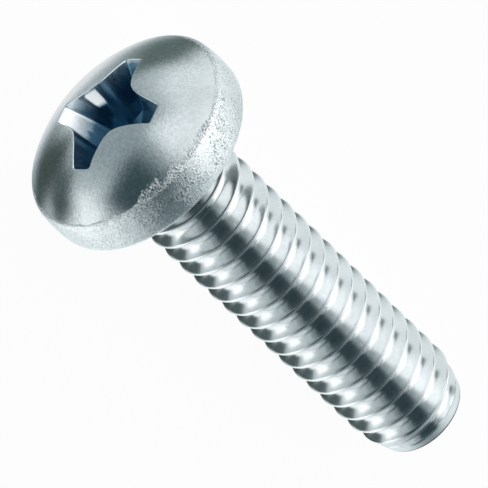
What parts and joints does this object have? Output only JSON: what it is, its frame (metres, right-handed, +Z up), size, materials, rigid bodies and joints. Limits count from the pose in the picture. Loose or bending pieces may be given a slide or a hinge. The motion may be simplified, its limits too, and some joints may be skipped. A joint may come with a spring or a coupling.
{
  "type": "machine screw",
  "caption": "Pan head machine screw with a cross recess, a right-hand thread up to the head and a slim cone at the end, bright zinc plated.",
  "frame": {"origin": "floor point below the middle of the lying screw's box", "axes": "+X from the head to the threaded end, +Y across the screw, +Z up from the floor it lies on"},
  "size_m": [0.029, 0.0122, 0.0122],
  "materials": {
    "zinc_plated_steel": "bright blue-white zinc plating, satin on the crown and fine grained on the rim of the head"
  },
  "bodies": {
    "root": {"screw": "zinc_plated_steel"}
  },
  "joints": []
}
